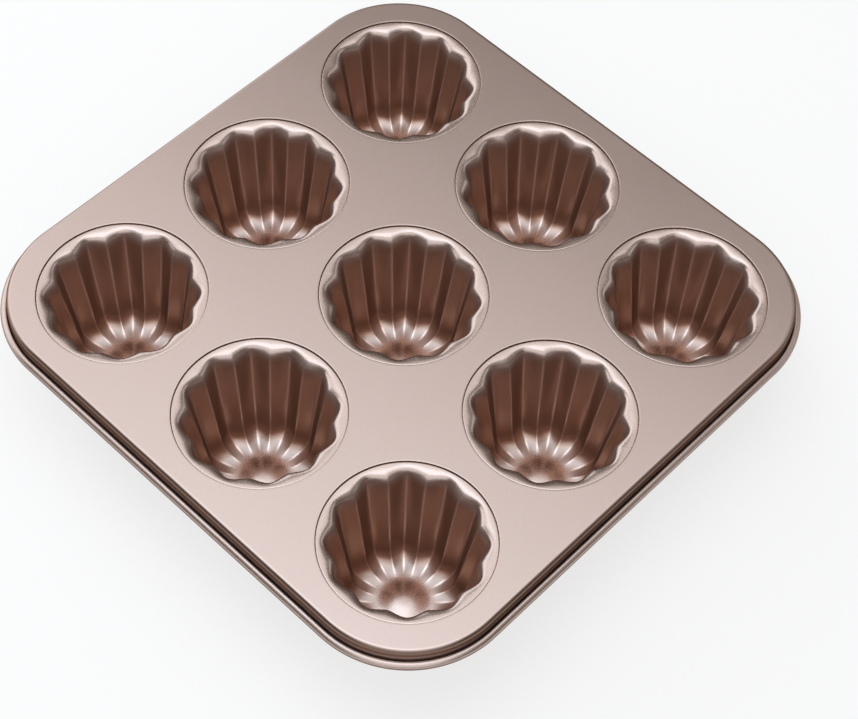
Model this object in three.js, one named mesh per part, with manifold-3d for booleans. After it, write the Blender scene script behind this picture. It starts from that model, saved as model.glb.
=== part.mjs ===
// A square baking pan with nine fluted cups: one pressed plate with a wired rolled edge,
// and nine deep drawn cups that hang in its holes by their flanges.
// Millimetres, +Z up. The origin is below the middle of the pan, on the surface it stands on.

import * as THREE from 'three';
import { mergeVertices } from 'three/addons/utils/BufferGeometryUtils.js';
import Module from 'manifold-3d';

const wasm = await Module();
wasm.setup();

// Driving dimensions: the sheet and the pattern of cups
const SHEET = 0.7;
const ROWS = 3;
const COLUMNS = 3;
const MOUTH_RADIUS = 30.3;
const WEB_BETWEEN_MOUTHS = 9.4;

// Driving dimensions: the plate's edge and its wired bead
const EDGE_MARGIN = 9.3;
const CORNER_RADIUS = 37.3;
const EDGE_RADIUS = 1.5;
const BEAD_DROP = 6.8;
const WIRE_DIAMETER = 1.4;
const WIRE_CLEARANCE = 0.3;
const BEAD_TURN = 290;
const RIM_LAP = 1.8;

// Driving dimensions: one cup. Radii are those of its food side, and depths are below the top of the deck.
const CUP_DEPTH = 44.5;
const FLANGE_OVERLAP = 2.7;
const FLANGE_CLEARANCE = 0.2;
const LIP_LAND = 1.1;
const LIP_ROLL_WIDTH = 2.4;
const LIP_ROLL_HEIGHT = 2.8;
const BASE_RADIUS = 21.7;
const FLOOR_FILLET_WIDTH = 9.2;
const FLOOR_FILLET_HEIGHT = 6;
const FLUTES = 12;
const FLUTE_DEPTH_AT_LIP = 2.4;
const FLUTE_DEPTH_AT_BASE = 1.6;
const LOBE_CREST_ANGLE = 6;
const LOBE_FOOT_ANGLE = 20;

// How far each cup is turned in its hole, in degrees: the rows run from the back to the front
const CUP_TURNS = [
  [10.5, 25, 13.5],
  [13, 9.6, 2],
  [17.5, 23.4, 14.4],
];

// Steps that round stretches are drawn with
const MOUTH_STEPS = 48;
const CORNER_STEPS = 8;
const EDGE_STEPS = 3;
const BEAD_STEPS = 10;
const WIRE_SIDES = 8;
const LIP_STEPS = 2;
const FILLET_STEPS = 2;

// Sizes that follow from the driving ones
const PITCH = 2 * MOUTH_RADIUS + WEB_BETWEEN_MOUTHS;
const HALF_LENGTH = (COLUMNS - 1) * PITCH / 2 + MOUTH_RADIUS + EDGE_MARGIN;
const HALF_WIDTH = (ROWS - 1) * PITCH / 2 + MOUTH_RADIUS + EDGE_MARGIN;
const DECK_HEIGHT = CUP_DEPTH + SHEET;
const WIRE_RADIUS = WIRE_DIAMETER / 2;
const WIRE_OFFSET = WIRE_RADIUS + WIRE_CLEARANCE;
const FLANGE_RADIUS = MOUTH_RADIUS + FLANGE_OVERLAP;
const FLANGE_DROP = SHEET + FLANGE_CLEARANCE;
const LIP_RADIUS = MOUTH_RADIUS - LIP_LAND;
const LOBE_RADIUS = LIP_RADIUS - LIP_ROLL_WIDTH;
const FLOOR_RADIUS = BASE_RADIUS - FLOOR_FILLET_WIDTH;

const radians = THREE.MathUtils.degToRad;

function coatedSteel() {
  return new THREE.MeshStandardMaterial({ color: 0xcbb5a9, roughness: 0.36, metalness: 0.9 });
}

function bareWire() {
  return new THREE.MeshStandardMaterial({ color: 0x9a9a98, roughness: 0.45, metalness: 1 });
}

// Stations round the pan's outline: each has the middle of its corner and the way out from it
function outlineStations() {
  const stations = [];
  const signs = [[1, 1], [-1, 1], [-1, -1], [1, -1]];
  signs.forEach(([signX, signY], corner) => {
    const x = signX * (HALF_LENGTH - CORNER_RADIUS);
    const y = signY * (HALF_WIDTH - CORNER_RADIUS);
    for (let step = 0; step <= CORNER_STEPS; step += 1) {
      const angle = radians(90 * (corner + step / CORNER_STEPS));
      stations.push({ x, y, outX: Math.cos(angle), outY: Math.sin(angle) });
    }
  });
  return stations;
}

const STATIONS = outlineStations();

// A point of the outline moved out from the skirt's outer face
function outlinePoint(station, out) {
  const reach = CORNER_RADIUS + out;
  return new THREE.Vector2(station.x + reach * station.outX, station.y + reach * station.outY);
}

// A closed section, given anticlockwise as (out from the skirt, height), carried once round the outline
function sweepRound(section) {
  const positions = [];
  STATIONS.forEach((station) => {
    section.forEach((corner) => {
      const point = outlinePoint(station, corner.x);
      positions.push(point.x, point.y, corner.y);
    });
  });
  const indices = [];
  STATIONS.forEach((_, here) => {
    const next = (here + 1) % STATIONS.length;
    section.forEach((_, low) => {
      const high = (low + 1) % section.length;
      const a = here * section.length + low;
      const b = next * section.length + low;
      const c = next * section.length + high;
      const d = here * section.length + high;
      indices.push(a, b, c, a, c, d);
    });
  });
  const geometry = new THREE.BufferGeometry();
  geometry.setAttribute('position', new THREE.Float32BufferAttribute(positions, 3));
  geometry.setIndex(indices);
  return geometry;
}

function toSolid(geometry) {
  const bare = geometry.clone();
  bare.deleteAttribute('normal');
  bare.deleteAttribute('uv');
  const merged = mergeVertices(bare);
  const vertProperties = new Float32Array(merged.attributes.position.array);
  const triVerts = new Uint32Array(merged.index.array);
  return new wasm.Manifold(new wasm.Mesh({ numProp: 3, vertProperties, triVerts }));
}

function toGeometry(solid) {
  const mesh = solid.getMesh();
  const geometry = new THREE.BufferGeometry();
  geometry.setAttribute('position', new THREE.Float32BufferAttribute(mesh.vertProperties, 3));
  geometry.setIndex(new THREE.Uint32BufferAttribute(mesh.triVerts, 1));
  return geometry;
}

// Middle line of the sheet from the deck, over the edge, down the skirt and round the wire.
// Each point keeps the direction of its left side, which is the top, then the outside, then the wire's side.
function rimMiddleLine() {
  const line = [{ out: -EDGE_RADIUS - RIM_LAP, z: -SHEET / 2, sideOut: 0, sideZ: 1 }];
  const edgeRadius = EDGE_RADIUS - SHEET / 2;
  for (let step = 0; step <= EDGE_STEPS; step += 1) {
    const angle = radians(90 * (1 - step / EDGE_STEPS));
    line.push({
      out: -EDGE_RADIUS + edgeRadius * Math.cos(angle),
      z: -EDGE_RADIUS + edgeRadius * Math.sin(angle),
      sideOut: Math.cos(angle),
      sideZ: Math.sin(angle),
    });
  }
  const beadRadius = WIRE_OFFSET + SHEET / 2;
  for (let step = 0; step <= BEAD_STEPS; step += 1) {
    const angle = radians(180 + BEAD_TURN * step / BEAD_STEPS);
    line.push({
      out: WIRE_OFFSET + beadRadius * Math.cos(angle),
      z: -BEAD_DROP + beadRadius * Math.sin(angle),
      sideOut: -Math.cos(angle),
      sideZ: -Math.sin(angle),
    });
  }
  return line;
}

function rimSection() {
  const line = rimMiddleLine();
  const beside = (point, distance) => new THREE.Vector2(
    point.out + distance * point.sideOut,
    point.z + distance * point.sideZ,
  );
  const right = line.map((point) => beside(point, -SHEET / 2));
  const left = line.map((point) => beside(point, SHEET / 2));
  return [...right, ...left.reverse()];
}

function cupCentres() {
  const centres = [];
  for (let row = 0; row < ROWS; row += 1) {
    for (let column = 0; column < COLUMNS; column += 1) {
      const x = (column - (COLUMNS - 1) / 2) * PITCH;
      const y = ((ROWS - 1) / 2 - row) * PITCH;
      centres.push({ name: `cup_r${row + 1}c${column + 1}`, x, y, turn: CUP_TURNS[row][column] });
    }
  }
  return centres;
}

// The flat deck with a hole for each cup. It ends halfway across the rim's own strip of deck.
function deckGeometry() {
  const outline = STATIONS.map((station) => outlinePoint(station, -EDGE_RADIUS - RIM_LAP / 2));
  const shape = new THREE.Shape(outline);
  cupCentres().forEach(({ x, y }) => {
    const mouth = new THREE.Path();
    mouth.absarc(x, y, MOUTH_RADIUS, 0, 2 * Math.PI);
    shape.holes.push(mouth);
  });
  const geometry = new THREE.ExtrudeGeometry(shape, {
    depth: SHEET,
    bevelEnabled: false,
    curveSegments: MOUTH_STEPS / 2,
  });
  return geometry.translate(0, 0, -SHEET);
}

function platePiece() {
  const deck = toSolid(deckGeometry());
  const rim = toSolid(sweepRound(rimSection()));
  const plate = new THREE.Mesh(toGeometry(deck.add(rim)), coatedSteel());
  plate.name = 'pan_plate';
  plate.position.z = DECK_HEIGHT;
  return plate;
}

function wirePiece() {
  const section = [];
  for (let side = 0; side < WIRE_SIDES; side += 1) {
    const angle = radians(360 * side / WIRE_SIDES);
    section.push(new THREE.Vector2(
      WIRE_OFFSET + WIRE_RADIUS * Math.cos(angle),
      -BEAD_DROP + WIRE_RADIUS * Math.sin(angle),
    ));
  }
  const wire = new THREE.Mesh(sweepRound(section), bareWire());
  wire.name = 'rim_wire';
  wire.position.z = DECK_HEIGHT;
  return wire;
}

// Directions that a ring of the cup is drawn at: the two sides of each lobe's crest and of its foot.
// The lobe share is 1 on a crest and 0 on the rib between two lobes.
function fluteDirections() {
  const directions = [];
  for (let flute = 0; flute < FLUTES; flute += 1) {
    const middle = 360 * flute / FLUTES;
    directions.push({ angle: radians(middle - LOBE_FOOT_ANGLE / 2), lobe: 0 });
    directions.push({ angle: radians(middle - LOBE_CREST_ANGLE / 2), lobe: 1 });
    directions.push({ angle: radians(middle + LOBE_CREST_ANGLE / 2), lobe: 1 });
    directions.push({ angle: radians(middle + LOBE_FOOT_ANGLE / 2), lobe: 0 });
  }
  return directions;
}

// Rings of the food side from the flange's edge to the floor, each with its height and its radius by lobe share
function cupRings() {
  const lipRadius = (lobe) => LOBE_RADIUS - FLUTE_DEPTH_AT_LIP * (1 - lobe);
  const baseRadius = (lobe) => BASE_RADIUS - FLUTE_DEPTH_AT_BASE * (1 - lobe);
  const rings = [
    { z: -FLANGE_DROP, radius: () => FLANGE_RADIUS, flat: true },
    { z: -FLANGE_DROP, radius: () => LIP_RADIUS, flat: true },
  ];
  for (let step = 1; step <= LIP_STEPS; step += 1) {
    const angle = radians(90 * step / LIP_STEPS);
    rings.push({
      z: -FLANGE_DROP - LIP_ROLL_HEIGHT * (1 - Math.cos(angle)),
      radius: (lobe) => LIP_RADIUS - (LIP_RADIUS - lipRadius(lobe)) * Math.sin(angle),
    });
  }
  for (let step = 0; step <= FILLET_STEPS; step += 1) {
    const angle = radians(90 * (1 - step / FILLET_STEPS));
    rings.push({
      z: -CUP_DEPTH + FLOOR_FILLET_HEIGHT * (1 - Math.cos(angle)),
      radius: (lobe) => FLOOR_RADIUS + (baseRadius(lobe) - FLOOR_RADIUS) * Math.sin(angle),
      flat: step === FILLET_STEPS,
    });
  }
  return rings;
}

// The food side as a surface: rings of points, then the middle of the floor
function foodSide(rings, directions) {
  const positions = [];
  rings.forEach((ring) => {
    directions.forEach(({ angle, lobe }) => {
      const radius = ring.radius(lobe);
      positions.push(radius * Math.cos(angle), radius * Math.sin(angle), ring.z);
    });
  });
  positions.push(0, 0, -CUP_DEPTH);
  const around = directions.length;
  const indices = [];
  for (let side = 0; side < around; side += 1) {
    const next = (side + 1) % around;
    for (let ring = 0; ring < rings.length - 1; ring += 1) {
      const outer = ring * around;
      const inner = outer + around;
      indices.push(outer + side, outer + next, inner + side);
      indices.push(outer + next, inner + next, inner + side);
    }
    const floor = (rings.length - 1) * around;
    indices.push(floor + side, floor + next, rings.length * around);
  }
  const geometry = new THREE.BufferGeometry();
  geometry.setAttribute('position', new THREE.Float32BufferAttribute(positions, 3));
  geometry.setIndex(indices);
  geometry.computeVertexNormals();
  return geometry;
}

// The cup's sheet: the food side, the same surface one thickness further out, and the flange's cut edge.
// The flange and the floor are thickened straight down, so that both stay flat.
function cupGeometry() {
  const rings = cupRings();
  const directions = fluteDirections();
  const food = foodSide(rings, directions);
  const around = directions.length;
  const count = food.attributes.position.count;
  const positions = Array.from(food.attributes.position.array);
  const point = new THREE.Vector3();
  const normal = new THREE.Vector3();
  for (let index = 0; index < count; index += 1) {
    const ring = rings[Math.floor(index / around)];
    point.fromBufferAttribute(food.attributes.position, index);
    normal.fromBufferAttribute(food.attributes.normal, index);
    if (!ring || ring.flat) {
      normal.set(0, 0, 1);
    }
    point.addScaledVector(normal, -SHEET);
    positions.push(point.x, point.y, point.z);
  }
  const foodFaces = Array.from(food.index.array);
  const indices = [...foodFaces];
  for (let face = 0; face < foodFaces.length; face += 3) {
    const [a, b, c] = foodFaces.slice(face, face + 3);
    indices.push(count + a, count + c, count + b);
  }
  for (let side = 0; side < around; side += 1) {
    const next = (side + 1) % around;
    indices.push(count + side, count + next, side);
    indices.push(count + next, next, side);
  }
  const geometry = new THREE.BufferGeometry();
  geometry.setAttribute('position', new THREE.Float32BufferAttribute(positions, 3));
  geometry.setIndex(indices);
  return geometry;
}

function cupPieces() {
  const shape = cupGeometry();
  return cupCentres().map(({ name, x, y, turn }) => {
    const cup = new THREE.Mesh(shape, coatedSteel());
    cup.name = name;
    cup.position.set(x, y, DECK_HEIGHT);
    cup.rotation.z = radians(turn);
    return cup;
  });
}

const pan = new THREE.Group();
pan.add(platePiece(), wirePiece(), ...cupPieces());

export default pan;
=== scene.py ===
"""A canele pan: a pressed plate with a wired rolled edge, and nine fluted cups that hang in its holes."""

import math
from collections import namedtuple

import bmesh
import bpy
from bpy.props import FloatProperty, FloatVectorProperty, IntProperty, PointerProperty
from mathutils import Matrix, Vector
from mathutils.geometry import interpolate_bezier


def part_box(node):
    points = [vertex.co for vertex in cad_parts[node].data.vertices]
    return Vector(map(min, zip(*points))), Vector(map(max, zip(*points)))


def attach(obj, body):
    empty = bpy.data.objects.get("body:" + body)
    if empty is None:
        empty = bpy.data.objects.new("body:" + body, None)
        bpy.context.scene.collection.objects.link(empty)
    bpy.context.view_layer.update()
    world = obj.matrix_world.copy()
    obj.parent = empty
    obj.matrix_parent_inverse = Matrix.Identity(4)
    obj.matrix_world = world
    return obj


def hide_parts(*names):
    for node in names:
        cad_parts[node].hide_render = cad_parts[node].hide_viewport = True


bl_info = {
    "name": "Canele Pan",
    "version": (1, 0, 0),
    "blender": (4, 5, 0),
    "location": "3D View > Sidebar > Canele Pan",
    "description": "Models a nine-cup canele pan in coated steel, and the stage it stands on",
    "category": "Object",
}

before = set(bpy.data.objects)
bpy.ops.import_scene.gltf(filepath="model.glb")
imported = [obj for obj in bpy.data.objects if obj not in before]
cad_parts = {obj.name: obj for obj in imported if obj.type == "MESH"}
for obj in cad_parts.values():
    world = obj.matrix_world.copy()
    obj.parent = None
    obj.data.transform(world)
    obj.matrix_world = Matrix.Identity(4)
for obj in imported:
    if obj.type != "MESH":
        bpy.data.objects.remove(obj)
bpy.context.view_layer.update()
DECK_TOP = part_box("pan_plate")[1].z
CUP_ROWS = ("cup_r1", "cup_r2", "cup_r3")
CUP_COLUMNS = ("c1", "c2", "c3")

# How finely round stretches are drawn
MOUTH_STEPS = 192
EDGE_STEPS = 8
BEAD_STEPS = 30
WIRE_STEPS = 16
WIRE_CORNER_STEPS = 24
FLUTE_STEPS = 24
ROLL_STEPS = 16
WALL_STEPS = 14
FILLET_STEPS = 20
DOME_STEPS = 14
CUT_EDGE_STEPS = 3
OUTLINE_ROUNDS = 40

# How near points are merged, how far a ring of points that steadies a bend stands from it,
# and how far the cut edges of the sheet are rounded
MERGE_DISTANCE = 1e-6
OUTLINE_TOLERANCE = 10 * MERGE_DISTANCE
SUPPORT = 0.0004
MOUTH_SUPPORTS = 1.5 * SUPPORT, 5 * SUPPORT
CUT_EDGE_ROUNDING = 0.00022
MOUTH_EDGE_ROUNDING = 0.0001
MOUTH_EDGE_RELIEF = 0.0005
SHARP_ANGLE = math.radians(60)

# Where the coat inside a cup gets painted shade, painted highlight lines and a dull film, by height, and
# where the flutes are, by radius.
# The food side is told by how far a face looks up.
SHADE_AND_LINES_FROM = DECK_TOP - 0.002, DECK_TOP - 0.0065
WALL_SHADE_TO = 0.0004, 0.0042
FILMED_FROM = DECK_TOP - 0.0008, DECK_TOP - 0.003
FILMED_TO = 0.0008, 0.0024
FLUTED_FROM = 0.0095, 0.014
FOOD_SIDE = -0.02, 0.02

# How narrow the painted highlight lines are, at the base and on the wall
LINE_SHARPNESS = 14.0, 60.0

# Where the plate gets painted shade: from how far out at the skirt, down to which height,
# and from which height down on the bead
EDGE_SHADED_FROM = -0.0013, -0.0005
EDGE_SHADED_TO = DECK_TOP - 0.0042, DECK_TOP - 0.0025
BEAD_SHADED_FROM = DECK_TOP - 0.006, DECK_TOP - 0.0067

# The flakes of the coat, the slow drifts in it and the lines of drawing: how many there are,
# how far they change the tone and the gloss, and how strongly they stand out
WIRE_FLAKES_PER_METRE = 1500.0
DRIFTS_PER_METRE = 28.0
LINES_PER_METRE = 700.0, 700.0, 22.0
FLAKE_TONES = 0.93, 1.07
FLAKE_GLOSSES = 0.88, 1.12
DRIFT_TONES = 0.97, 1.03
DRIFT_GLOSSES = 0.94, 1.06
LINE_TONES = 0.95, 1.05
LINE_GLOSSES = 0.9, 1.1
FLAKE_RELIEF = 0.12
LINE_RELIEF = 0.1
RELIEF_HEIGHT = 0.0001
WIRE_ROUGHNESS = 0.4

# The stage: how matt the floor is, how much of it looks white whatever the light,
# the ceiling's colour, and its level at the horizon and overhead
FLOOR_ROUGHNESS = 0.9
FLOOR_WHITENESS = 0.7
CEILING_COLOUR = 1.0, 0.9, 0.8
CEILING_LEVELS = 0.08, 0.4
SENSOR_WIDTH = 36.0
LAMP_COLOUR = 0.96, 1.0, 1.05
CORE_COLOUR = 0.74, 1.0, 1.22
SOFTBOX_TURN = math.radians(15)

# The lamps, each with the setting of its power. One with a turn hangs level above the pan,
# and one without is aimed at it.
Lamp = namedtuple("Lamp", "name power size place colour turn")
LAMPS = (
    Lamp("softbox", "softbox_power", (1.85, 1.135), (-0.502, 0.038, 1.1), LAMP_COLOUR, SOFTBOX_TURN),
    Lamp("softbox_core", "core_power", (0.84, 0.7), (-0.1, -0.13, 1.09), CORE_COLOUR, SOFTBOX_TURN),
    Lamp("window", "window_power", (2.0, 0.85), (-1.2, -0.105, 0.45), LAMP_COLOUR, None),
    Lamp("front_light", "front_power", (1.3, 1.5), (0.607, -0.69, 0.816), LAMP_COLOUR, None),
    Lamp("side_light", "side_power", (1.2, 0.6), (0.6, 1.04, 0.55), LAMP_COLOUR, None),
)

# Kinds of sockets of the node groups
VECTOR = "NodeSocketVector"
COLOUR = "NodeSocketColor"
VALUE = "NodeSocketFloat"

# A point of a cup's profile on a lobe's crest, the step across and up from it to a rib's ridge,
# and how far down the wall it is, from 0 at the lip to 1 at the base
Station = namedtuple("Station", "radius height across up down")

# A metal's material with the nodes that its finish goes on from
Metal = namedtuple("Metal", "material tree shader coordinates grain")


class PlateSizes(bpy.types.PropertyGroup):
    """Sizes of the pressed plate and its wired edge"""

    sheet: FloatProperty(
        name="Sheet", description="Thickness of the steel sheet", default=0.0007, unit="LENGTH")
    pitch: FloatProperty(
        name="Pitch", description="Distance between the middles of two neighbouring mouths",
        default=0.07, unit="LENGTH")
    mouth_radius: FloatProperty(
        name="Mouth radius", description="Radius of each hole that a cup hangs in",
        default=0.0303, unit="LENGTH")
    half_side: FloatProperty(
        name="Half side", description="From the middle of the pan to the outer face of its skirt",
        default=0.1096, unit="LENGTH")
    corner_radius: FloatProperty(
        name="Corner radius", description="Radius of the pan's corners at the skirt",
        default=0.0373, unit="LENGTH")
    edge_radius: FloatProperty(
        name="Edge bend", description="Outer radius of the bend from the deck to the skirt",
        default=0.0015, unit="LENGTH")
    bead_drop: FloatProperty(
        name="Bead drop", description="From the top of the deck down to the middle of the wire",
        default=0.0068, unit="LENGTH")
    bead_radius: FloatProperty(
        name="Bead radius", description="Radius of the space that the sheet is rolled round",
        default=0.00099, unit="LENGTH")
    bead_turn: FloatProperty(
        name="Bead turn", description="How far the sheet is rolled round the wire",
        default=math.radians(290), unit="ROTATION", subtype="ANGLE")
    wire_radius: FloatProperty(
        name="Wire radius", description="Radius of the wire inside the rolled edge",
        default=0.0007, unit="LENGTH")


class CupSizes(bpy.types.PropertyGroup):
    """Sizes of one fluted cup. Radii are those of its food side, and depths are below the deck"""

    depth: FloatProperty(
        name="Depth", description="From the top of the deck down to the cup's floor",
        default=0.04449, unit="LENGTH")
    flange_radius: FloatProperty(
        name="Flange radius", description="Radius of the flange that lies under the plate",
        default=0.033, unit="LENGTH")
    flange_drop: FloatProperty(
        name="Flange drop", description="From the top of the deck down to the flange",
        default=0.0009, unit="LENGTH")
    land_drop: FloatProperty(
        name="Land drop", description="From the top of the deck down to the narrow land inside the mouth",
        default=0.00045, unit="LENGTH")
    land_radius: FloatProperty(
        name="Land radius", description="Outer radius of the land inside the mouth",
        default=0.03005, unit="LENGTH")
    lip_radius: FloatProperty(
        name="Lip radius", description="Radius where the land starts to roll over into the cup",
        default=0.0297, unit="LENGTH")
    lobe_radius: FloatProperty(
        name="Lobe radius", description="Radius of a lobe's crest below the rolled lip",
        default=0.0262, unit="LENGTH")
    roll_height: FloatProperty(
        name="Roll height", description="Height of the rolled lip", default=0.0054, unit="LENGTH")
    roll_pull: FloatVectorProperty(
        name="Roll pull", size=2, default=(0.8, 0.6), min=0.3, max=1.0,
        description="At the land and at the wall: higher values make the roll tighter in its middle")
    base_radius: FloatProperty(
        name="Base radius", description="Radius of a lobe's crest above the floor's bend",
        default=0.0209, unit="LENGTH")
    floor_radius: FloatProperty(
        name="Floor radius", description="Radius of the ring that the cup stands on",
        default=0.0095, unit="LENGTH")
    dome_height: FloatProperty(
        name="Dome", description="How far the middle of the floor is domed up",
        default=0.0014, unit="LENGTH")
    dome_flatness: FloatProperty(
        name="Dome flatness", description="Higher values make the top of the dome flatter",
        default=1.3, min=1.0, max=3.0)
    flute_fade: FloatProperty(
        name="Flute fade", description="Higher values end the flutes earlier on the floor",
        default=1.8, min=0.1, max=3.0)
    fillet_height: FloatProperty(
        name="Floor bend", description="Height of the bend between the wall and the floor",
        default=0.0062, unit="LENGTH")
    fillet_pull: FloatVectorProperty(
        name="Floor bend pull", size=2, default=(0.9, 0.45), min=0.3, max=1.0,
        description="At the wall and at the floor: higher values make the bend tighter in its middle")
    flutes: IntProperty(
        name="Flutes", description="Number of lobes round the cup", default=12, min=3)
    depth_at_lip: FloatProperty(
        name="Flute depth at lip", description="How far a rib stands in from the lobes at the lip",
        default=0.0024, unit="LENGTH")
    depth_at_base: FloatProperty(
        name="Flute depth at base", description="How far a rib stands in from the lobes at the base",
        default=0.0024, unit="LENGTH")
    fullness: FloatVectorProperty(
        name="Rib fullness", size=2, default=(1.15, 1.0), min=0.5, max=3.0,
        description="At the lip and the base: 1 gives lobes and ribs the same width, more gives wider ribs")
    crease: FloatVectorProperty(
        name="Crease", size=2, default=(0.5, 0.95), min=0.0, max=1.0,
        description="At the lip and the base: 0 gives a round wave, 1 gives flat flanks that meet in creases")
    crest_rounding: FloatProperty(
        name="Crest rounding", description="1 gives the lobes a sharp crest, more gives them a rounder one",
        default=1.35, min=1.0, max=3.0)
    turns_back: FloatVectorProperty(
        name="Turns, back row", description="How far each cup is turned in its hole", size=3,
        default=tuple(map(math.radians, (10.5, 25, 13.5))), unit="ROTATION")
    turns_middle: FloatVectorProperty(
        name="Turns, middle row", description="How far each cup is turned in its hole", size=3,
        default=tuple(map(math.radians, (13, 9.6, 2))), unit="ROTATION")
    turns_front: FloatVectorProperty(
        name="Turns, front row", description="How far each cup is turned in its hole", size=3,
        default=tuple(map(math.radians, (17.5, 23.4, 14.4))), unit="ROTATION")


class FinishSettings(bpy.types.PropertyGroup):
    """Colours and surface of the coat and of the wire"""

    coat_colour: FloatVectorProperty(
        name="Coat", description="Colour of the coat on the sheet",
        subtype="COLOR", size=3, min=0.0, max=1.0, default=(0.545, 0.436, 0.398))
    coat_edge_tint: FloatVectorProperty(
        name="Coat edge tint", description="Colour of the coat where it is seen at a low angle",
        subtype="COLOR", size=3, min=0.0, max=1.0, default=(0.45, 0.33, 0.28))
    # Painted shade: the walls inside the cups are tinted browner and darker
    wall_shade_tint: FloatVectorProperty(
        name="Wall shade tint", description="How painted shade browns and darkens the coat on the walls inside the cups",
        subtype="COLOR", size=3, min=0.0, max=1.0, default=(0.86, 0.64, 0.51))
    # Painted shade: the turned-down edge and the underside of the bead are tinted browner and darker
    edge_shade_tint: FloatVectorProperty(
        name="Edge shade tint", description="How painted shade browns and darkens the turned-down edge and under the bead",
        subtype="COLOR", size=3, min=0.0, max=1.0, default=(0.44, 0.37, 0.33))
    # Painted highlights: the crests and ridges of the flutes are lighter in colour
    crease_highlight: FloatProperty(
        name="Crease highlight", description="How bright the painted highlight lines on the crests and ridges of the flutes are",
        default=0.3, min=0.0, max=1.0, subtype="FACTOR")
    # Painted highlights: the painted shade of the walls is left off the crests and ridges
    crease_shade_gap: FloatProperty(
        name="Crease shade gap", description="How far the painted shade is left off the crests and ridges",
        default=0.6, min=0.0, max=1.0, subtype="FACTOR")
    coat_roughness: FloatProperty(
        name="Coat roughness", description="How far the coat spreads a reflection",
        default=0.32, min=0.0, max=1.0, subtype="FACTOR")
    cup_roughness: FloatProperty(
        name="Cup roughness", description="How far the coat of the drawn cups spreads a reflection",
        default=0.27, min=0.0, max=1.0, subtype="FACTOR")
    baked_film: FloatProperty(
        name="Baked film", description="How far a dull film from baking hides the metal of the walls",
        default=0.2, min=0.0, max=1.0, subtype="FACTOR")
    # Painted highlights: the lines at the base are lighter still
    base_highlight: FloatProperty(
        name="Base wear", description="How much brighter still the painted highlight lines are at the base",
        default=0.16, min=0.0, max=2.0)
    # Painted shade, with a rougher finish, on the floor's bend between the lines
    floor_shade_and_dulling: FloatProperty(
        name="Floor shade and dulling", description="How much darker, as painted shade, and rougher a floor's bend is between the highlight lines",
        default=0.28, min=0.0, max=0.9)
    grain_size: FloatProperty(
        name="Grain size", description="Size of the flakes in the coat", default=0.0005, unit="LENGTH")
    wire_colour: FloatVectorProperty(
        name="Wire", description="Colour of the bare wire",
        subtype="COLOR", size=3, min=0.0, max=1.0, default=(0.52, 0.51, 0.5))


class StageSettings(bpy.types.PropertyGroup):
    """Floor, light and camera"""

    floor_colour: FloatVectorProperty(
        name="Floor", description="Colour of the floor",
        subtype="COLOR", size=3, min=0.0, max=1.0, default=(0.9, 0.9, 0.9))
    floor_size: FloatProperty(
        name="Floor size", description="Half the side of the floor", default=4.0, unit="LENGTH")
    softbox_power: FloatProperty(
        name="Softbox power", description="Power of the wide softbox above the pan",
        default=6.75, unit="POWER")
    core_power: FloatProperty(
        name="Core power", description="Power of the brighter middle of the softbox",
        default=1.6, unit="POWER")
    window_power: FloatProperty(
        name="Window power", description="Power of the low lamp at the left", default=8.0, unit="POWER")
    front_power: FloatProperty(
        name="Front light power", description="Power of the lamp above the camera",
        default=5.8, unit="POWER")
    side_power: FloatProperty(
        name="Side light power", description="Power of the weak lamp at the right",
        default=1.4, unit="POWER")
    lens: FloatProperty(
        name="Lens", description="Focal length of the camera", default=87.95, unit="CAMERA")
    camera_place: FloatVectorProperty(
        name="Camera", description="Where the camera stands", size=3, subtype="XYZ", unit="LENGTH",
        default=(0.28861, -0.31827, 0.64854))
    camera_aim: FloatVectorProperty(
        name="Aim", description="The point of the deck in the middle of the picture", size=3,
        subtype="XYZ", unit="LENGTH", default=(0.02546, -0.01365, 0.04475))
    camera_roll: FloatProperty(
        name="Roll", description="How far the camera is tilted about its view", unit="ROTATION",
        subtype="ANGLE", default=math.radians(3.8035))


def new_object(name, bm, material):
    """Makes an object of a mesh, with one material, and puts it in the scene."""
    mesh = bpy.data.meshes.new(name)
    bm.to_mesh(mesh)
    bm.free()
    mesh.materials.append(material)
    thing = bpy.data.objects.new(name, mesh)
    bpy.context.scene.collection.objects.link(thing)
    return thing


def new_piece(name, bm, material, slot, *nodes):
    """Makes a shown piece from a mesh: it rides on the pan's one body and stands for its solids."""
    piece = new_object(name, bm, material)
    for polygon in piece.data.polygons:
        polygon.use_smooth = True
    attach(piece, "root")
    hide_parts(*nodes)
    return piece


def extrude_loop(bm, edges):
    """Extrudes a loop of edges in place. Gives the new vertices and the new loop."""
    made = bmesh.ops.extrude_edge_only(bm, edges=edges)["geom"]
    verts = [part for part in made if isinstance(part, bmesh.types.BMVert)]
    fresh = set(verts)
    loop = [part for part in made
            if isinstance(part, bmesh.types.BMEdge) and fresh.issuperset(part.verts)]
    return verts, loop


def merge_close(bm):
    """Merges vertices that lie on each other."""
    bmesh.ops.remove_doubles(bm, verts=bm.verts, dist=MERGE_DISTANCE)


def sharp_edges(bm):
    """The edges that the cutting of the sheet has left sharp."""
    return [edge for edge in bm.edges if edge.is_manifold and edge.calc_face_angle() > SHARP_ANGLE]


def round_edges(bm, edges, width):
    """Rounds edges of the sheet over a width."""
    bmesh.ops.bevel(
        bm, geom=edges, offset=width, offset_type="OFFSET", affect="EDGES",
        segments=CUT_EDGE_STEPS, profile=0.5, material=-1, clamp_overlap=True)


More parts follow.
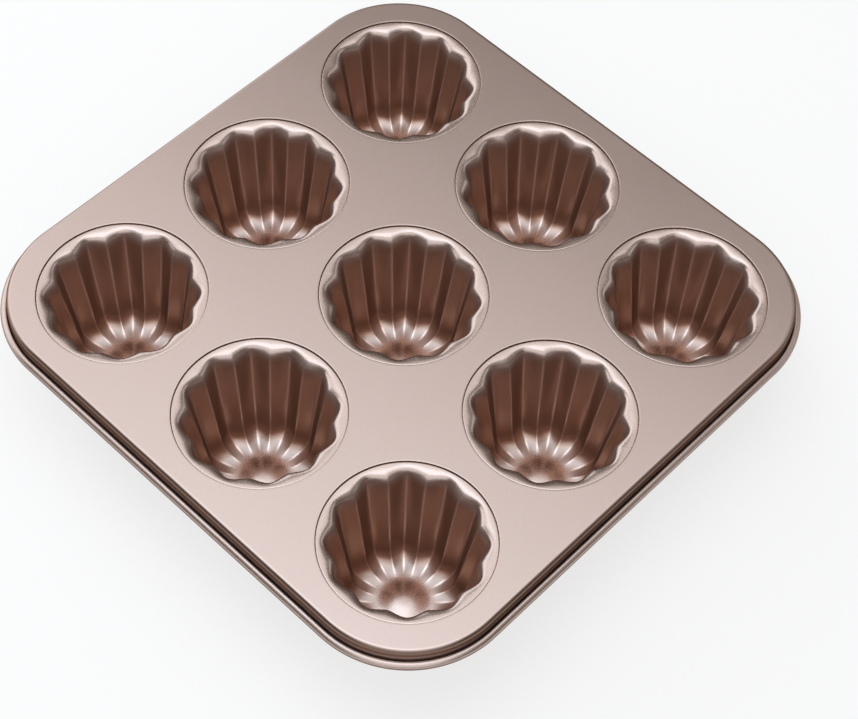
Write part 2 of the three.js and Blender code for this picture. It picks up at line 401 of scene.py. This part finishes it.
def round_plate_edges(bm, sizes):
    """Rounds the plate's cut edges, and relieves each mouth below, which leaves a dark seam at the cup."""
    edges = sharp_edges(bm)
    within = DECK_TOP - sizes.sheet / 2
    under = within - sizes.sheet
    top = [edge for edge in edges if edge.verts[0].co.z > within]
    below = [edge for edge in edges if under < edge.verts[0].co.z < within]
    curl = [edge for edge in edges if edge.verts[0].co.z < under]
    round_edges(bm, curl, CUT_EDGE_ROUNDING)
    round_edges(bm, top, MOUTH_EDGE_ROUNDING)
    round_edges(bm, [edge for edge in below if edge.is_valid], MOUTH_EDGE_RELIEF)
    merge_close(bm)


def face_up(bm, point):
    """Turns an open shell so that its face nearest a point looks up."""
    bmesh.ops.recalc_face_normals(bm, faces=bm.faces)
    nearest = min(bm.faces, key=lambda face: (face.calc_center_median() - point).length)
    if nearest.normal.z < 0:
        bmesh.ops.reverse_faces(bm, faces=bm.faces)


def core_reach(sizes):
    """Half the side of the square that the outline's corners are struck from."""
    return sizes.half_side - sizes.corner_radius


def core_point(point, sizes):
    """The nearest point to another of the square that the outline's corners are struck from."""
    reach = core_reach(sizes)
    return Vector((max(-reach, min(reach, point.x)), max(-reach, min(reach, point.y)), 0.0))


def beside_outline(point, out, height, sizes):
    """Moves a point square to the outline, to a distance out from the skirt and a height from the deck."""
    core = core_point(point, sizes)
    way = Vector((point.x - core.x, point.y - core.y, 0.0)).normalized()
    place = core + way * (sizes.corner_radius + out)
    place.z = DECK_TOP + height
    return place


def carry_round(bm, loop, section, sizes):
    """Carries a loop that runs round the pan through the places of a section."""
    for out, height in section:
        verts, loop = extrude_loop(bm, loop)
        for vert in verts:
            vert.co = beside_outline(vert.co, out, height, sizes)
    return loop


def from_core(point, sizes):
    """How far a point is from the square that the outline's corners are struck from."""
    core = core_point(point, sizes)
    return math.hypot(point.x - core.x, point.y - core.y)


def deck_corner(sizes):
    """Radius of the corners of the deck's nine cells, which end inside the outline."""
    return sizes.corner_radius - sizes.half_side + len(CUP_COLUMNS) / 2 * sizes.pitch


def cell_reach(centre, way, sizes):
    """From a mouth's middle to the edge of its cell of the deck: the next cell, or the rounded outline."""
    reach = sizes.pitch / 2 / max(abs(way.x), abs(way.y))
    radius = deck_corner(sizes)
    for _ in range(OUTLINE_ROUNDS):
        over = from_core(centre + way * reach, sizes) - radius
        reach -= max(0.0, over)
    return reach


def cup_middles():
    """The middle of each mouth, taken from the cup's own solid."""
    middles = {}
    for row in CUP_ROWS:
        for column in CUP_COLUMNS:
            low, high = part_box(row + column)
            middles[row + column] = Vector(((low.x + high.x) / 2, (low.y + high.y) / 2, DECK_TOP))
    return middles


def deck_mesh(bm, sizes):
    """The flat of the deck, one cell for each mouth. Gives the loop of edges round the outside."""
    for middle in cup_middles().values():
        verts = bmesh.ops.create_circle(
            bm, cap_ends=False, segments=MOUTH_STEPS, radius=sizes.mouth_radius,
            matrix=Matrix.Translation(middle))["verts"]
        loop = list({edge for vert in verts for edge in vert.link_edges})
        for step in (*MOUTH_SUPPORTS, None):
            verts, loop = extrude_loop(bm, loop)
            for vert in verts:
                way = (vert.co - middle).normalized()
                reach = cell_reach(middle, way, sizes) if step is None else sizes.mouth_radius + step
                vert.co = middle + way * reach
    merge_close(bm)
    limit = deck_corner(sizes) - OUTLINE_TOLERANCE
    return [edge for edge in bm.edges
            if edge.is_boundary and all(from_core(vert.co, sizes) > limit for vert in edge.verts)]


def rim_section(sizes):
    """The outside of the sheet from the deck over the edge, down the skirt and round the wire."""
    bend = sizes.edge_radius
    section = [(-bend - SUPPORT, 0.0)]
    for step in range(EDGE_STEPS + 1):
        angle = math.pi / 2 * step / EDGE_STEPS
        section.append((-bend + bend * math.sin(angle), -bend + bend * math.cos(angle)))
    section.append((0.0, -bend - SUPPORT))
    section.append((0.0, -sizes.bead_drop + SUPPORT))
    for step in range(BEAD_STEPS + 1):
        angle = math.pi + sizes.bead_turn * step / BEAD_STEPS
        section.append((
            sizes.bead_radius + sizes.bead_radius * math.cos(angle),
            -sizes.bead_drop + sizes.bead_radius * math.sin(angle)))
    return section


def wire_mesh(bm, sizes):
    """A ring of round wire that follows the outline inside the rolled edge."""
    segments = 4 * WIRE_CORNER_STEPS
    verts = bmesh.ops.create_circle(
        bm, cap_ends=False, segments=segments, radius=sizes.corner_radius,
        matrix=Matrix.Rotation(math.pi / segments, 4, "Z"))["verts"]
    reach = core_reach(sizes)
    for vert in verts:
        vert.co.x += math.copysign(reach, vert.co.x)
        vert.co.y += math.copysign(reach, vert.co.y)
    first = list(bm.edges)
    places = []
    for step in range(WIRE_STEPS):
        angle = 2 * math.pi * step / WIRE_STEPS
        places.append((
            sizes.bead_radius + sizes.wire_radius * math.cos(angle),
            -sizes.bead_drop + sizes.wire_radius * math.sin(angle)))
    for vert in verts:
        vert.co = beside_outline(vert.co, *places[0], sizes)
    last = carry_round(bm, first, places[1:], sizes)
    bmesh.ops.bridge_loops(bm, edges=first + last)
    bmesh.ops.recalc_face_normals(bm, faces=bm.faces)


def bend_points(start, start_way, end, end_way, steps):
    """Points of a bend between two points of a section that leaves each of them along its way."""
    points = interpolate_bezier(start, start + start_way, end + end_way, end, steps + 1)
    return [point.to_2d() for point in points]


def lip_roll(cup, slope):
    """Points of the rolled lip from the flat land to the wall, each with the share of the way across."""
    width = cup.lip_radius - cup.lobe_radius
    land_edge = Vector((cup.lip_radius, -cup.land_drop))
    wall_head = Vector((cup.lobe_radius, -cup.land_drop - cup.roll_height))
    up = Vector((slope, 1.0)).normalized()
    points = bend_points(
        land_edge, Vector((-width * cup.roll_pull[0], 0.0)),
        wall_head, up * cup.roll_height * cup.roll_pull[1], ROLL_STEPS)
    return [(point, (cup.lip_radius - point.x) / width) for point in points]


def floor_bend(cup, slope):
    """Points of the bend from the wall's foot to the floor, each with the way that a rib stands out of it."""
    width = cup.base_radius - cup.floor_radius
    wall_foot = Vector((cup.base_radius, -cup.depth + cup.fillet_height))
    floor_edge = Vector((cup.floor_radius, -cup.depth))
    down = Vector((-slope, -1.0)).normalized()
    points = bend_points(
        wall_foot, down * cup.fillet_height * cup.fillet_pull[0],
        floor_edge, Vector((width * cup.fillet_pull[1], 0.0)), FILLET_STEPS)
    ways = [after - before for before, after in zip(points[:1] + points, points[1:] + points[-1:])]
    return [(point, Vector((way.y, -way.x)).normalized()) for point, way in zip(points, ways)]


def cup_profile(cup):
    """The stations of the food side from the flange to the axis, along a lobe's crest."""
    top = -cup.land_drop
    roll_foot = top - cup.roll_height
    fillet_top = -cup.depth + cup.fillet_height
    slope = (cup.lobe_radius - cup.base_radius) / (roll_foot - fillet_top)
    flange_inside = cup.land_radius + (cup.flange_drop - cup.land_drop)
    profile = []
    for radius in (cup.flange_radius, cup.flange_radius - SUPPORT, flange_inside + SUPPORT, flange_inside):
        profile.append(Station(radius, -cup.flange_drop, 0.0, 0.0, 0.0))
    profile.append(Station(cup.land_radius, top, 0.0, 0.0, 0.0))
    for point, share in lip_roll(cup, slope):
        profile.append(Station(*point, -cup.depth_at_lip * share, 0.0, 0.0))
    bend = floor_bend(cup, slope)
    rib_at_base = cup.depth_at_base * bend[0][1]
    for step in range(1, WALL_STEPS):
        share = step / WALL_STEPS
        profile.append(Station(
            cup.lobe_radius + (cup.base_radius - cup.lobe_radius) * share,
            roll_foot + (fillet_top - roll_foot) * share,
            -cup.depth_at_lip + (cup.depth_at_lip + rib_at_base.x) * share,
            rib_at_base.y * share, share))
    for point, way in bend:
        left = (point.x - cup.floor_radius) / (cup.base_radius - cup.floor_radius)
        rib = cup.depth_at_base * max(0.0, left) ** cup.flute_fade * way
        profile.append(Station(*point, *rib, 1.0))
    for step in range(1, DOME_STEPS + 1):
        share = 1 - step / DOME_STEPS
        rise = cup.dome_height * math.cos(math.pi / 2 * share ** cup.dome_flatness) ** 2
        profile.append(Station(cup.floor_radius * share, -cup.depth + rise, 0.0, 0.0, 1.0))
    return profile


def lobe_share(angle, down, cup):
    """1 on the crest of a lobe and 0 on the ridge of a rib, at a share of the way down the wall."""
    crease = cup.crease[0] + (cup.crease[1] - cup.crease[0]) * down
    fullness = cup.fullness[0] + (cup.fullness[1] - cup.fullness[0]) * down
    phase = math.remainder(angle * cup.flutes, 2 * math.pi)
    wave = (1 + math.cos(phase)) / 2
    fold = 1 - (abs(phase) / math.pi) ** cup.crest_rounding
    return (wave + (fold - wave) * crease) ** fullness


def cup_mesh(cup, sheet):
    """One cup about its own axis: a turned profile with the flutes pressed in, as thick as the sheet."""
    bm = bmesh.new()
    ring = bm.verts.layers.int.new("ring")
    profile = cup_profile(cup)
    verts = []
    for number, station in enumerate(profile):
        vert = bm.verts.new((station.radius, 0.0, station.height))
        vert[ring] = number
        verts.append(vert)
    edges = [bm.edges.new(pair) for pair in zip(verts, verts[1:])]
    bmesh.ops.spin(
        bm, geom=verts + edges, cent=(0, 0, 0), axis=(0, 0, 1), angle=2 * math.pi,
        steps=cup.flutes * FLUTE_STEPS, use_merge=True)
    merge_close(bm)
    for vert in bm.verts:
        radius = vert.co.xy.length
        if radius > MERGE_DISTANCE:
            station = profile[vert[ring]]
            rib = 1 - lobe_share(math.atan2(vert.co.y, vert.co.x), station.down, cup)
            vert.co.xy *= (radius + station.across * rib) / radius
            vert.co.z += station.up * rib
    bm.verts.layers.int.remove(ring)
    face_up(bm, Vector((0, 0, -cup.depth)))
    bmesh.ops.solidify(bm, geom=bm.faces[:], thickness=sheet)
    round_edges(bm, sharp_edges(bm), CUT_EDGE_ROUNDING)
    merge_close(bm)
    return bm


class CANELE_OT_press_plate(bpy.types.Operator):
    """Press the plate: the deck with its nine mouths, the skirt and the rolled edge"""

    bl_idname = "canele.press_plate"
    bl_label = "Press plate"

    def execute(self, context):
        sizes = context.scene.canele_plate
        bm = bmesh.new()
        loop = deck_mesh(bm, sizes)
        carry_round(bm, loop, rim_section(sizes), sizes)
        face_up(bm, Vector((0, sizes.pitch / 2, DECK_TOP)))
        bmesh.ops.solidify(bm, geom=bm.faces[:], thickness=sizes.sheet)
        round_plate_edges(bm, sizes)
        material = plate_coat(context.scene.canele_finish, sizes)
        new_piece("pressed_plate", bm, material, "coated_sheet", "pan_plate")
        return {"FINISHED"}


class CANELE_OT_bend_wire(bpy.types.Operator):
    """Bend the wire that stiffens the rolled edge"""

    bl_idname = "canele.bend_wire"
    bl_label = "Bend wire"

    def execute(self, context):
        bm = bmesh.new()
        wire_mesh(bm, context.scene.canele_plate)
        new_piece("edge_wire", bm, bare_wire(context.scene.canele_finish), "wire", "rim_wire")
        return {"FINISHED"}


class CANELE_OT_draw_cups(bpy.types.Operator):
    """Draw the nine fluted cups and hang each in its mouth"""

    bl_idname = "canele.draw_cups"
    bl_label = "Draw cups"

    def execute(self, context):
        cup = context.scene.canele_cup
        material = cup_coat(context.scene.canele_finish, cup.flutes)
        shape = cup_mesh(cup, context.scene.canele_plate.sheet)
        turns = (*cup.turns_back, *cup.turns_middle, *cup.turns_front)
        for number, (node, middle) in enumerate(cup_middles().items()):
            bm = shape.copy()
            drawn = bm.verts.layers.float_vector.new("drawn")
            for vert in bm.verts:
                vert[drawn] = (*vert.co.xy, vert.co.z + number)
            bmesh.ops.rotate(
                bm, verts=bm.verts, cent=(0, 0, 0), matrix=Matrix.Rotation(turns[number], 3, "Z"))
            bmesh.ops.translate(bm, verts=bm.verts, vec=middle)
            new_piece(f"fluted_{node}", bm, material, "coated_sheet", node)
        shape.free()
        return {"FINISHED"}


class CANELE_OT_set_stage(bpy.types.Operator):
    """Set the floor, the light and the camera"""

    bl_idname = "canele.set_stage"
    bl_label = "Set stage"

    def execute(self, context):
        stage = context.scene.canele_stage
        lay_floor(stage)
        light_world(context.scene)
        for lamp in LAMPS:
            hang_lamp(lamp, getattr(stage, lamp.power))
        place_camera(context.scene, stage)
        context.scene.view_settings.view_transform = "Standard"
        return {"FINISHED"}


class CANELE_PT_pan(bpy.types.Panel):
    """Sizes, finish and stage of the pan"""

    bl_idname = "CANELE_PT_pan"
    bl_label = "Canele Pan"
    bl_space_type = "VIEW_3D"
    bl_region_type = "UI"
    bl_category = "Canele Pan"

    def draw(self, context):
        for operators, name in PANEL_ROWS:
            box = self.layout.box()
            settings = getattr(context.scene, name)
            box.label(text=settings.bl_rna.description)
            for prop in settings.bl_rna.properties:
                if prop.identifier not in {"rna_type", "name"}:
                    box.prop(settings, prop.identifier)
            for operator in operators:
                box.operator(operator)


def opaque(colour):
    """A colour as a colour socket takes it, with full alpha."""
    return (*colour, 1.0)


def link(tree, source, target):
    """Links an output to an input."""
    tree.links.new(source, target)


def pass_on(tree, source, target, *names):
    """Links outputs of a node to the inputs of another that have the same names."""
    for name in names:
        link(tree, source.outputs[name], target.inputs[name])


def add_node(tree, kind, **values):
    """Adds a node and sets its properties, and its inputs by their names."""
    node = tree.nodes.new(kind)
    for name, value in values.items():
        if hasattr(node, name):
            setattr(node, name, value)
        else:
            node.inputs[name.replace("_", " ")].default_value = value
    return node


def math_node(tree, operation, first, second=None):
    """Adds a Math node whose inputs are sockets or numbers, and gives its result."""
    node = add_node(tree, "ShaderNodeMath", operation=operation)
    for socket, value in zip(node.inputs, (first, second)):
        if isinstance(value, bpy.types.NodeSocket):
            link(tree, value, socket)
        elif value is not None:
            socket.default_value = value
    return node.outputs[0]


def product(tree, first, *others):
    """Multiplies values by each other, and gives the result."""
    for other in others:
        first = math_node(tree, "MULTIPLY", first, other)
    return first


def rest_of(tree, value):
    """What a value leaves of 1."""
    return math_node(tree, "SUBTRACT", 1.0, value)


def distance(tree, across, along):
    """The length of a step across and along."""
    squares = [math_node(tree, "POWER", step, 2.0) for step in (across, along)]
    return math_node(tree, "SQRT", math_node(tree, "ADD", *squares))


def axes(tree, vector):
    """Splits a vector, and gives its X, Y and Z."""
    node = tree.nodes.new("ShaderNodeSeparateXYZ")
    link(tree, vector, node.inputs["Vector"])
    return node.outputs


def map_range(tree, value, **ranges):
    """Maps a value from one range to another, each from 0 to 1 where it isn't given."""
    node = add_node(tree, "ShaderNodeMapRange", **ranges)
    link(tree, value, node.inputs["Value"])
    return node.outputs["Result"]


def spread(tree, value, low, high):
    """Maps a value from 0 to 1 to the range between two numbers."""
    return map_range(tree, value, To_Min=low, To_Max=high)


def smooth_mask(tree, value, low, high):
    """A soft step of a value, from 0 at one number to 1 at another."""
    return map_range(tree, value, interpolation_type="SMOOTHSTEP", From_Min=low, From_Max=high)


def noise(tree, vector, **values):
    """Adds a noise texture over a vector."""
    node = add_node(tree, "ShaderNodeTexNoise", **values)
    link(tree, vector, node.inputs["Vector"])
    return node


def shade(tree, colour, factor):
    """Multiplies a colour by a value, and gives the result."""
    node = add_node(tree, "ShaderNodeVectorMath", operation="SCALE")
    link(tree, colour, node.inputs[0])
    link(tree, factor, node.inputs["Scale"])
    return node.outputs[0]


def tinted(tree, colour, tint, share):
    """A colour tinted by a share of another."""
    mix = add_node(tree, "ShaderNodeMix", data_type="RGBA", blend_type="MULTIPLY")
    link(tree, share, mix.inputs["Factor"])
    link(tree, colour, mix.inputs["A"])
    link(tree, tint, mix.inputs["B"])
    return mix.outputs["Result"]


def relief(tree, source, strength):
    """Adds a bump from the height that a group gives."""
    bump = add_node(tree, "ShaderNodeBump", Strength=strength, Distance=RELIEF_HEIGHT)
    pass_on(tree, source, bump, "Height")
    return bump


def new_group(name, inputs, outputs):
    """An empty shader group with named sockets. Gives its tree, what it is given and what it gives."""
    tree = bpy.data.node_groups.new(name, "ShaderNodeTree")
    for in_out, sockets in (("INPUT", inputs), ("OUTPUT", outputs)):
        for label, kind in sockets.items():
            tree.interface.new_socket(name=label, in_out=in_out, socket_type=kind)
    return tree, tree.nodes.new("NodeGroupInput").outputs, tree.nodes.new("NodeGroupOutput").inputs


def group_node(tree, name, build, **values):
    """Places a node group, which is built at its first use, and sets its inputs by their names."""
    group = bpy.data.node_groups.get(name) or build(name)
    return add_node(tree, "ShaderNodeGroup", node_tree=group, **values)


def flake_grain(name):
    """Satin grain: fine flakes that differ in tone, gloss and tilt, and slow drifts of tone and gloss."""
    tree, given, result = new_group(
        name,
        {"Vector": VECTOR, "Colour": COLOUR, "Roughness": VALUE, "Flakes per metre": VALUE},
        {"Colour": COLOUR, "Roughness": VALUE, "Height": VALUE})
    fine = noise(tree, given["Vector"], Detail=2.0, Roughness=0.6)
    link(tree, given["Flakes per metre"], fine.inputs["Scale"])
    slow = noise(tree, given["Vector"], Scale=DRIFTS_PER_METRE, Detail=3.0, Roughness=0.55)
    flakes, drift = fine.outputs["Fac"], slow.outputs["Fac"]
    tone = product(tree, spread(tree, flakes, *FLAKE_TONES), spread(tree, drift, *DRIFT_TONES))
    link(tree, shade(tree, given["Colour"], tone), result["Colour"])
    gloss = product(tree, spread(tree, flakes, *FLAKE_GLOSSES), spread(tree, drift, *DRIFT_GLOSSES))
    link(tree, product(tree, given["Roughness"], gloss), result["Roughness"])
    link(tree, flakes, result["Height"])
    return tree


def drawing_lines(name):
    """Faint lines that the drawing of the cup leaves along its wall."""
    tree, given, result = new_group(
        name,
        {"Vector": VECTOR, "Colour": COLOUR, "Roughness": VALUE},
        {"Colour": COLOUR, "Roughness": VALUE, "Height": VALUE})
    stretch = add_node(tree, "ShaderNodeMapping", Scale=LINES_PER_METRE)
    link(tree, given["Vector"], stretch.inputs["Vector"])
    lines = noise(tree, stretch.outputs["Vector"], Scale=1.0, Detail=3.0, Roughness=0.6).outputs["Fac"]
    link(tree, shade(tree, given["Colour"], spread(tree, lines, *LINE_TONES)), result["Colour"])
    link(tree, product(tree, given["Roughness"], spread(tree, lines, *LINE_GLOSSES)), result["Roughness"])
    link(tree, lines, result["Height"])
    return tree


def wall_shade_and_highlights(name):
    """Painted shade that browns and darkens the walls inside the cups, and painted highlight lines along the
    crests and ridges of the flutes; also a dull film on the walls, and painted shade with a rougher finish
    between the lines on the floor's bend.
    """
    tree, given, result = new_group(
        name,
        {"Vector": VECTOR, "Drawn": VECTOR, "Normal": VECTOR, "Flutes": VALUE,
         "Colour": COLOUR, "Tint": COLOUR, "Wear": VALUE, "Base wear": VALUE, "Bareness": VALUE,
         "Dulling": VALUE, "Roughness": VALUE, "Film": VALUE},
        {"Colour": COLOUR, "Roughness": VALUE, "Metallic": VALUE})
    height = axes(tree, given["Vector"])["Z"]
    facing = axes(tree, given["Normal"])["Z"]
    drawn = axes(tree, given["Drawn"])
    radius = distance(tree, drawn["X"], drawn["Y"])
    fluted = product(tree, smooth_mask(tree, facing, *FOOD_SIDE), smooth_mask(tree, radius, *FLUTED_FROM))
    below_lip = product(tree, fluted, smooth_mask(tree, height, *SHADE_AND_LINES_FROM))
    above_base = smooth_mask(tree, height, *FILMED_TO)
    base = rest_of(tree, above_base)
    turn = math_node(tree, "ARCTAN2", drawn["Y"], drawn["X"])
    wave = math_node(tree, "COSINE", product(tree, turn, given["Flutes"]))
    line = math_node(
        tree, "POWER", math_node(tree, "ABSOLUTE", wave), spread(tree, above_base, *LINE_SHARPNESS))
    # Painted highlights: lighter colour along the crests and ridges, stronger at the base
    highlight_strength = math_node(tree, "ADD", given["Wear"], product(tree, given["Base wear"], base))
    line_highlight = product(tree, line, highlight_strength, below_lip)
    # Painted shade, with a rougher finish, on the floor's bend between the lines
    between = product(tree, rest_of(tree, line), product(tree, base, fluted))
    shade_and_dull = product(tree, between, given["Dulling"])
    # Painted shade: browner, darker walls below the lip, partly left off the lines
    painted_shade = product(tree, below_lip, smooth_mask(tree, height, *WALL_SHADE_TO))
    shade_gap = product(tree, line, given["Bareness"])
    left = product(tree, painted_shade, rest_of(tree, shade_gap))
    shaded = tinted(tree, given["Colour"], given["Tint"], left)
    painted_light = math_node(tree, "SUBTRACT", math_node(tree, "ADD", line_highlight, 1.0), shade_and_dull)
    link(tree, shade(tree, shaded, painted_light), result["Colour"])
    filmed = product(tree, fluted, above_base, smooth_mask(tree, height, *FILMED_FROM))
    film = product(tree, given["Film"], filmed)
    rougher = math_node(tree, "ADD", math_node(tree, "ADD", film, shade_and_dull), 1.0)
    link(tree, product(tree, given["Roughness"], rougher), result["Roughness"])
    link(tree, rest_of(tree, film), result["Metallic"])
    return tree


def painted_edge_shade(name):
    """Painted shade on the turned-down edge and under the bead, whose top is left without it."""
    tree, given, result = new_group(
        name,
        {"Vector": VECTOR, "Colour": COLOUR, "Tint": COLOUR, "Core": VALUE, "Corner radius": VALUE},
        {"Colour": COLOUR})
    place = axes(tree, given["Vector"])
    beyond = []
    for axis in "XY":
        reach = math_node(tree, "SUBTRACT", math_node(tree, "ABSOLUTE", place[axis]), given["Core"])
        beyond.append(math_node(tree, "MAXIMUM", reach, 0.0))
    outside = math_node(tree, "SUBTRACT", distance(tree, *beyond), given["Corner radius"])
    # Painted shade on the turned-down skirt and under the bead
    turned = product(
        tree, smooth_mask(tree, outside, *EDGE_SHADED_FROM), smooth_mask(tree, place["Z"], *EDGE_SHADED_TO))
    painted_shade = math_node(tree, "MAXIMUM", turned, smooth_mask(tree, place["Z"], *BEAD_SHADED_FROM))
    link(tree, tinted(tree, given["Colour"], given["Tint"], painted_shade), result["Colour"])
    return tree


def new_material(name):
    """A material with a Principled shader. Gives the material, its tree and the shader."""
    material = bpy.data.materials.new(name)
    material.use_nodes = True
    return material, material.node_tree, material.node_tree.nodes["Principled BSDF"]


def grained_metal(name, colour, roughness, flakes):
    """A metal, and the grain that its colour and roughness come from."""
    material, tree, shader = new_material(name)
    shader.inputs["Metallic"].default_value = 1.0
    coordinates = tree.nodes.new("ShaderNodeTexCoord")
    grain = group_node(
        tree, "Flake grain", flake_grain,
        Colour=opaque(colour), Roughness=roughness, Flakes_per_metre=flakes)
    link(tree, coordinates.outputs["Object"], grain.inputs["Vector"])
    return Metal(material, tree, shader, coordinates, grain)


def coated_metal(name, finish, roughness):
    """The metallic coat of the sheet, before it is browned."""
    metal = grained_metal(name, finish.coat_colour, roughness, 1 / finish.grain_size)
    metal.shader.distribution = "GGX"
    metal.shader.inputs["Specular Tint"].default_value = opaque(finish.coat_edge_tint)
    return metal


def plate_coat(finish, sizes):
    """The coat of the plate, with painted shade on the turned-down edge and under the bead."""
    material, tree, shader, coordinates, grain = coated_metal("Plate coat", finish, finish.coat_roughness)
    edge = group_node(
        tree, "Baked edge", painted_edge_shade, Tint=opaque(finish.edge_shade_tint),
        Core=core_reach(sizes), Corner_radius=sizes.corner_radius)
    link(tree, coordinates.outputs["Object"], edge.inputs["Vector"])
    pass_on(tree, grain, edge, "Colour")
    link(tree, edge.outputs["Colour"], shader.inputs["Base Color"])
    pass_on(tree, grain, shader, "Roughness")
    pass_on(tree, relief(tree, grain, FLAKE_RELIEF), shader, "Normal")
    return material


def cup_coat(finish, flutes):
    """The coat of the cups, with painted shade on the walls and painted highlight lines on the flutes, and
    drawing lines as well as the grain.
    """
    material, tree, shader, coordinates, grain = coated_metal("Cup coat", finish, finish.cup_roughness)
    drawn = add_node(tree, "ShaderNodeAttribute", attribute_name="drawn").outputs["Vector"]
    walls = group_node(
        tree, "Baked walls", wall_shade_and_highlights, Flutes=flutes, Tint=opaque(finish.wall_shade_tint),
        Wear=finish.crease_highlight, Base_wear=finish.base_highlight, Bareness=finish.crease_shade_gap,
        Dulling=finish.floor_shade_and_dulling, Film=finish.baked_film)
    link(tree, coordinates.outputs["Object"], walls.inputs["Vector"])
    link(tree, drawn, walls.inputs["Drawn"])
    pass_on(tree, coordinates, walls, "Normal")
    pass_on(tree, grain, walls, "Colour", "Roughness")
    pass_on(tree, walls, shader, "Metallic")
    lines = group_node(tree, "Drawing lines", drawing_lines)
    link(tree, drawn, lines.inputs["Vector"])
    pass_on(tree, walls, lines, "Colour", "Roughness")
    link(tree, lines.outputs["Colour"], shader.inputs["Base Color"])
    pass_on(tree, lines, shader, "Roughness")
    ridges = relief(tree, lines, LINE_RELIEF)
    pass_on(tree, relief(tree, grain, FLAKE_RELIEF), ridges, "Normal")
    pass_on(tree, ridges, shader, "Normal")
    return material


def bare_wire(finish):
    """Drawn steel wire, with the grain of the metal."""
    material, tree, shader, _, grain = grained_metal(
        "Bare wire", finish.wire_colour, WIRE_ROUGHNESS, WIRE_FLAKES_PER_METRE)
    link(tree, grain.outputs["Colour"], shader.inputs["Base Color"])
    pass_on(tree, grain, shader, "Roughness")
    return material


def floor_material(stage):
    """A pale matt floor that looks white and keeps the shadow of what stands on it."""
    material, tree, shader = new_material("Stage floor")
    shader.inputs["Base Color"].default_value = opaque(stage.floor_colour)
    shader.inputs["Roughness"].default_value = FLOOR_ROUGHNESS
    shader.inputs["Specular IOR Level"].default_value = 0.0
    path = tree.nodes.new("ShaderNodeLightPath")
    seen = math_node(tree, "MAXIMUM", path.outputs["Is Camera Ray"], path.outputs["Is Glossy Ray"])
    seen = math_node(tree, "MAXIMUM", seen, path.outputs["Is Transmission Ray"])
    white = add_node(tree, "ShaderNodeEmission", Color=(1, 1, 1, 1), Strength=1.0)
    mix = tree.nodes.new("ShaderNodeMixShader")
    link(tree, product(tree, seen, FLOOR_WHITENESS), mix.inputs["Fac"])
    link(tree, shader.outputs["BSDF"], mix.inputs[1])
    link(tree, white.outputs["Emission"], mix.inputs[2])
    link(tree, mix.outputs["Shader"], tree.nodes["Material Output"].inputs["Surface"])
    return material


def lay_floor(stage):
    """Lays the floor that the pan stands on."""
    bm = bmesh.new()
    bmesh.ops.create_grid(bm, x_segments=1, y_segments=1, size=stage.floor_size)
    floor = new_object("stage_floor", bm, floor_material(stage))


def light_world(scene):
    """A pale ceiling's soft light, which falls off to a dim horizon."""
    world = bpy.data.worlds.new("Studio")
    scene.world = world
    world.use_nodes = True
    tree = world.node_tree
    background = tree.nodes["Background"]
    background.inputs["Color"].default_value = opaque(CEILING_COLOUR)
    coordinates = tree.nodes.new("ShaderNodeTexCoord")
    upward = axes(tree, coordinates.outputs["Generated"])["Z"]
    horizon, overhead = CEILING_LEVELS
    level = map_range(tree, upward, interpolation_type="SMOOTHSTEP", To_Min=horizon, To_Max=overhead)
    link(tree, level, background.inputs["Strength"])


def hang_lamp(lamp, power):
    """Hangs a lamp level above the pan, or beside the pan and aimed at it."""
    light = bpy.data.lights.new(lamp.name, "AREA")
    light.shape = "RECTANGLE"
    light.size, light.size_y = lamp.size
    light.energy = power
    light.color = lamp.colour
    holder = bpy.data.objects.new(lamp.name, light)
    bpy.context.scene.collection.objects.link(holder)
    holder.location = lamp.place
    if lamp.turn is None:
        holder.rotation_euler = (-Vector(lamp.place)).to_track_quat("-Z", "Y").to_euler()
    else:
        holder.rotation_euler.z = lamp.turn


def place_camera(scene, stage):
    """Places the camera, aims it at the deck and tilts it."""
    camera = bpy.data.cameras.new("camera")
    camera.lens = stage.lens
    camera.sensor_fit = "HORIZONTAL"
    camera.sensor_width = SENSOR_WIDTH
    holder = bpy.data.objects.new("camera", camera)
    scene.collection.objects.link(holder)
    place = Vector(stage.camera_place)
    aim = (Vector(stage.camera_aim) - place).to_track_quat("-Z", "Y").to_matrix()
    turn = aim @ Matrix.Rotation(stage.camera_roll, 3, "Z")
    holder.matrix_world = Matrix.Translation(place) @ turn.to_4x4()
    scene.camera = holder


SETTINGS = {
    "canele_plate": PlateSizes,
    "canele_cup": CupSizes,
    "canele_finish": FinishSettings,
    "canele_stage": StageSettings,
}
PANEL_ROWS = (
    (("canele.press_plate", "canele.bend_wire"), "canele_plate"),
    (("canele.draw_cups",), "canele_cup"),
    ((), "canele_finish"),
    (("canele.set_stage",), "canele_stage"),
)
CLASSES = (
    *SETTINGS.values(),
    CANELE_OT_press_plate,
    CANELE_OT_bend_wire,
    CANELE_OT_draw_cups,
    CANELE_OT_set_stage,
    CANELE_PT_pan,
)


def register():
    for entry in CLASSES:
        bpy.utils.register_class(entry)
    for name, group in SETTINGS.items():
        setattr(bpy.types.Scene, name, PointerProperty(type=group))


def unregister():
    for name in SETTINGS:
        delattr(bpy.types.Scene, name)
    for entry in reversed(CLASSES):
        bpy.utils.unregister_class(entry)


def main():
    register()
    bpy.ops.canele.set_stage()
    bpy.ops.canele.press_plate()
    bpy.ops.canele.bend_wire()
    bpy.ops.canele.draw_cups()


if __name__ == "__main__":
    main()
